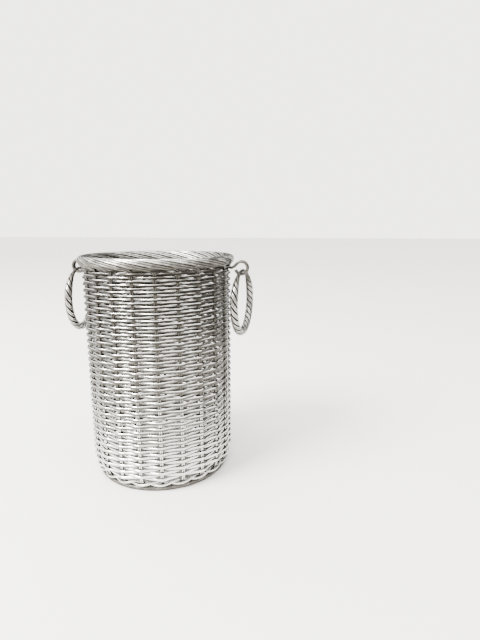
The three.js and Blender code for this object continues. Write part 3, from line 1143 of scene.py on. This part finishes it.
# Painted shadow: the hoop is painted dark below FOOT_SHADOW, where it meets the floor, and a
# dull grey above.
def foot_shade(height):
    return FOOT_PAINTED_SHADOW if height < FOOT_SHADOW else FOOT_DULL


side_bulge = (FOOT_WIDTH - FOOT_FLAT) / 2
foot_outline = []
for side in (1, -1):
    for step in range(FOOT_SIDE_STEPS + 1):
        turn = math.pi * step / FOOT_SIDE_STEPS
        across = FOOT_FLAT / 2 + side_bulge * math.sin(turn)
        rise = FOOT_TOP / 2 * (1 - side * math.cos(turn))
        foot_outline.append((FOOT_RADIUS + side * across, rise))
ring_foot = turned("ring_foot", foot_outline, foot_silver, foot_shade, True)
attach(ring_foot, "basket")
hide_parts("foot_hoop")

# %% Hoop inside the border
HOOP_INSET = BORDER_WIRE / 2 + 0.05
HOOP_STEPS = 16
# The hoop is painted a dull grey as shade under the border's strands.
HOOP_SHADE = 0.6
hoop_outline = []
for step in range(HOOP_STEPS):
    point, out = roll_section(2 * math.pi * step / HOOP_STEPS)
    point -= out * HOOP_INSET
    hoop_outline.append((ROLL_CENTRE + point.x, ROLL_HEIGHT + point.y))
border_hoop = turned("border_hoop", hoop_outline, foot_silver, lambda height: HOOP_SHADE, True)
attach(border_hoop, "basket")
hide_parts("rim_hoop")

# %% [markdown]
# ## Base
# What the basket holds stands on a round sheet inside the stakes. Such a sheet is spun on a
# lathe, which leaves fine rings in the metal, and its edge is rolled up into a low bead.
# A low step goes round the sheet and stiffens it. The fine rings are a Wave texture about
# the axis, given to a second bump on top of the dents.

# %% Spun finish
RING_WAVE = {"Scale": 220.0, "Distortion": 1.5, "Detail": 2.0}
SPUN_STRENGTH = 0.2
SPUN_DEPTH = 0.0002
SPUN_GREY = (0.36, 0.34, 0.30)

spun_silver = silver_finish(
    "spun_silver", bright=(0.86, 0.845, 0.81), dull_grey=SPUN_GREY, black=GREY,
    stops=(0.10, 0.75, 0.85, 1.0), smooth=0.22, dull=0.48, patchy=0.15,
)
spun_nodes = spun_silver.node_tree.nodes
rings = spun_nodes.new("ShaderNodeTexWave")
rings.wave_type = "RINGS"
rings.rings_direction = "Z"
for name, value in RING_WAVE.items():
    rings.inputs[name].default_value = value
spun_place = spun_nodes["Texture Coordinate"].outputs["Object"]
dents = spun_nodes["Bump"].outputs["Normal"]
link(spun_silver, spun_place, rings.inputs["Vector"])
spun_bump = dented(spun_silver, rings.outputs["Fac"], SPUN_STRENGTH, SPUN_DEPTH)
link(spun_silver, dents, spun_bump.inputs["Normal"])
link(spun_silver, spun_bump.outputs["Normal"], spun_nodes["Principled BSDF"].inputs["Normal"])
print("spun finish has", len(spun_nodes), "nodes")

# %% Base sheet
BASE_RECESS = 0.3
EDGE_IN = 0.4
EDGE_UP = 0.3
BEAD_RADIUS = 0.9
BEAD_STEPS = 6
BEAD_FOOT = 2.6
SHEET_DROP = 0.35
STEP_DROP = 0.1
STEP_OUTSIDE = 30.0
STEP_TOP = (29.2, 27.8)
STEP_INSIDE = 27.0

base_low, base_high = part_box("base_plate")
base_radius = base_high.x / MM
low, high = base_low.z / MM, base_high.z / MM
base_outline = [(0.0, low), (base_radius - EDGE_IN, low), (base_radius, low + EDGE_UP)]
for step in range(BEAD_STEPS + 1):
    turn = math.pi * step / BEAD_STEPS
    across = base_radius - BEAD_RADIUS + BEAD_RADIUS * math.cos(turn)
    base_outline.append((across, high - EDGE_UP + BEAD_RADIUS * math.sin(turn)))
sheet_top = high - SHEET_DROP
base_outline += [(base_radius - BEAD_FOOT, sheet_top), (STEP_OUTSIDE, sheet_top)]
base_outline += [(radius, high - STEP_DROP) for radius in STEP_TOP]
base_outline += [(STEP_INSIDE, sheet_top), (0.0, sheet_top)]
base = turned("base_sheet", base_outline, spun_silver, lambda height: BASE_RECESS, False)
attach(base, "basket")
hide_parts("base_plate")

# %% [markdown]
# ## Floor and light
# Silver has no look of its own without something to reflect. The floor is plain and pale.
# The light comes from all round, stronger from above, as in a white tent, so that each
# wire gets a white line along it and only the gaps stay dark. A dark band with soft edges
# crosses the sky round a level axis, and the wall mirrors it as a darker strip. What the
# camera itself sees behind the coaster is one pale colour. A large lamp at the upper left
# adds the highlights and a soft shadow. A picture of a room could light the silver too,
# but a few nodes give a plainer light that is easy to change.

# %% Floor
FLOOR_REACH = 8.0
FLOOR_DROP = 0.0002
FLOOR_COLOUR = (0.73, 0.723, 0.703)

floor_mesh = bpy.data.meshes.new("floor")
corners = ((-1, -1), (1, -1), (1, 1), (-1, 1))
floor_mesh.from_pydata(
    [(x * FLOOR_REACH, y * FLOOR_REACH, 0) for x, y in corners], [], [(0, 1, 2, 3)]
)
floor_paint = bpy.data.materials.new("floor_paint")
floor_paint.use_nodes = True
floor_shader = floor_paint.node_tree.nodes["Principled BSDF"]
floor_shader.inputs["Base Color"].default_value = (*FLOOR_COLOUR, 1)
floor_shader.inputs["Roughness"].default_value = 0.7
floor_mesh.materials.append(floor_paint)
floor = bpy.data.objects.new("floor", floor_mesh)
floor.location.z = -FLOOR_DROP
bpy.context.scene.collection.objects.link(floor)
print("floor is", 2 * FLOOR_REACH, "m across")

# %% Sky
WARM_WHITE = (1.0, 0.985, 0.955)
SKY_GREYS = ((0.0, 0.05), (0.16, 0.11), (0.42, 0.45), (0.75, 1.0))

world = bpy.data.worlds.new("studio")
bpy.context.scene.world = world
world.use_nodes = True
sky = world.node_tree.nodes
way = sky.new("ShaderNodeTexCoord").outputs["Generated"]
split = sky.new("ShaderNodeSeparateXYZ")
link(world, way, split.inputs[0])
greys = [(rise, [grey * part for part in WARM_WHITE]) for rise, grey in SKY_GREYS]
open_sky = colour_ramp(world, split.outputs["Z"], greys)
print("sky has", len(greys), "greys from the horizon up")

# %% Dark band in the sky
BAND_AXIS = (0.545, 0.839, 0.0)
BAND_DARK = 0.02
BAND_NEAR_EDGE = (0.46, 0.58)
BAND_FAR_EDGE = (0.81, 0.90)
# A Mix node has sockets for each kind of data, and these are the colour ones.
MIX_FIRST, MIX_SECOND, MIX_RESULT = 6, 7, 2

along_axis = sky.new("ShaderNodeVectorMath")
along_axis.operation = "DOT_PRODUCT"
along_axis.inputs[1].default_value = BAND_AXIS
link(world, way, along_axis.inputs[0])
band = sky.new("ShaderNodeMath")
band.operation = "MAXIMUM"
edges = ((BAND_NEAR_EDGE, (1.0, BAND_DARK)), (BAND_FAR_EDGE, (BAND_DARK, 1.0)))
for slot, (edge, shades) in enumerate(edges):
    shade = mapped(world, along_axis.outputs["Value"], edge, shades, smooth=True)
    link(world, shade, band.inputs[slot])
shaded = sky.new("ShaderNodeMix")
shaded.data_type = "RGBA"
shaded.blend_type = "MULTIPLY"
shaded.inputs["Factor"].default_value = 1.0
link(world, open_sky.outputs["Color"], shaded.inputs[MIX_FIRST])
link(world, band.outputs[0], shaded.inputs[MIX_SECOND])
print("band's middle is", round((BAND_NEAR_EDGE[1] + BAND_FAR_EDGE[0]) / 2, 3), "along its axis")

# %% Backdrop
BACKDROP = (0.65, 0.638, 0.608)
SKY_STRENGTH = 6.4

seen = sky.new("ShaderNodeLightPath")
choose = sky.new("ShaderNodeMix")
choose.data_type = "RGBA"
choose.inputs[MIX_SECOND].default_value = (*BACKDROP, 1)
link(world, seen.outputs["Is Camera Ray"], choose.inputs["Factor"])
link(world, shaded.outputs[MIX_RESULT], choose.inputs[MIX_FIRST])
link(world, choose.outputs[MIX_RESULT], sky["Background"].inputs["Color"])
sky["Background"].inputs["Strength"].default_value = SKY_STRENGTH
print("world has", len(sky), "nodes")

# %% Lamp
LAMP_PLACE = Vector((-0.8, -0.7, 1.1))
LAMP_AIM = Vector((0, 0, 0.08))
LAMP_WIDTH = 0.8
LAMP_POWER = 115.0

lamp_data = bpy.data.lights.new("lamp_left", "AREA")
lamp_data.shape = "DISK"
lamp_data.size = LAMP_WIDTH
lamp_data.energy = LAMP_POWER
lamp_data.color = WARM_WHITE
lamp = bpy.data.objects.new("lamp_left", lamp_data)
lamp.location = LAMP_PLACE
lamp.rotation_mode = "QUATERNION"
lamp.rotation_quaternion = (LAMP_AIM - LAMP_PLACE).to_track_quat("-Z", "Y")
bpy.context.scene.collection.objects.link(lamp)
print("lamp stands", round((LAMP_AIM - LAMP_PLACE).length, 2), "m away")

# %% [markdown]
# ## Size of the solids
# The looks keep to the solids' box within a few tenths of a millimetre. The solids' box
# is printed.

# %% Size of the solids
print("solids", sides_in_mm(cad_box))
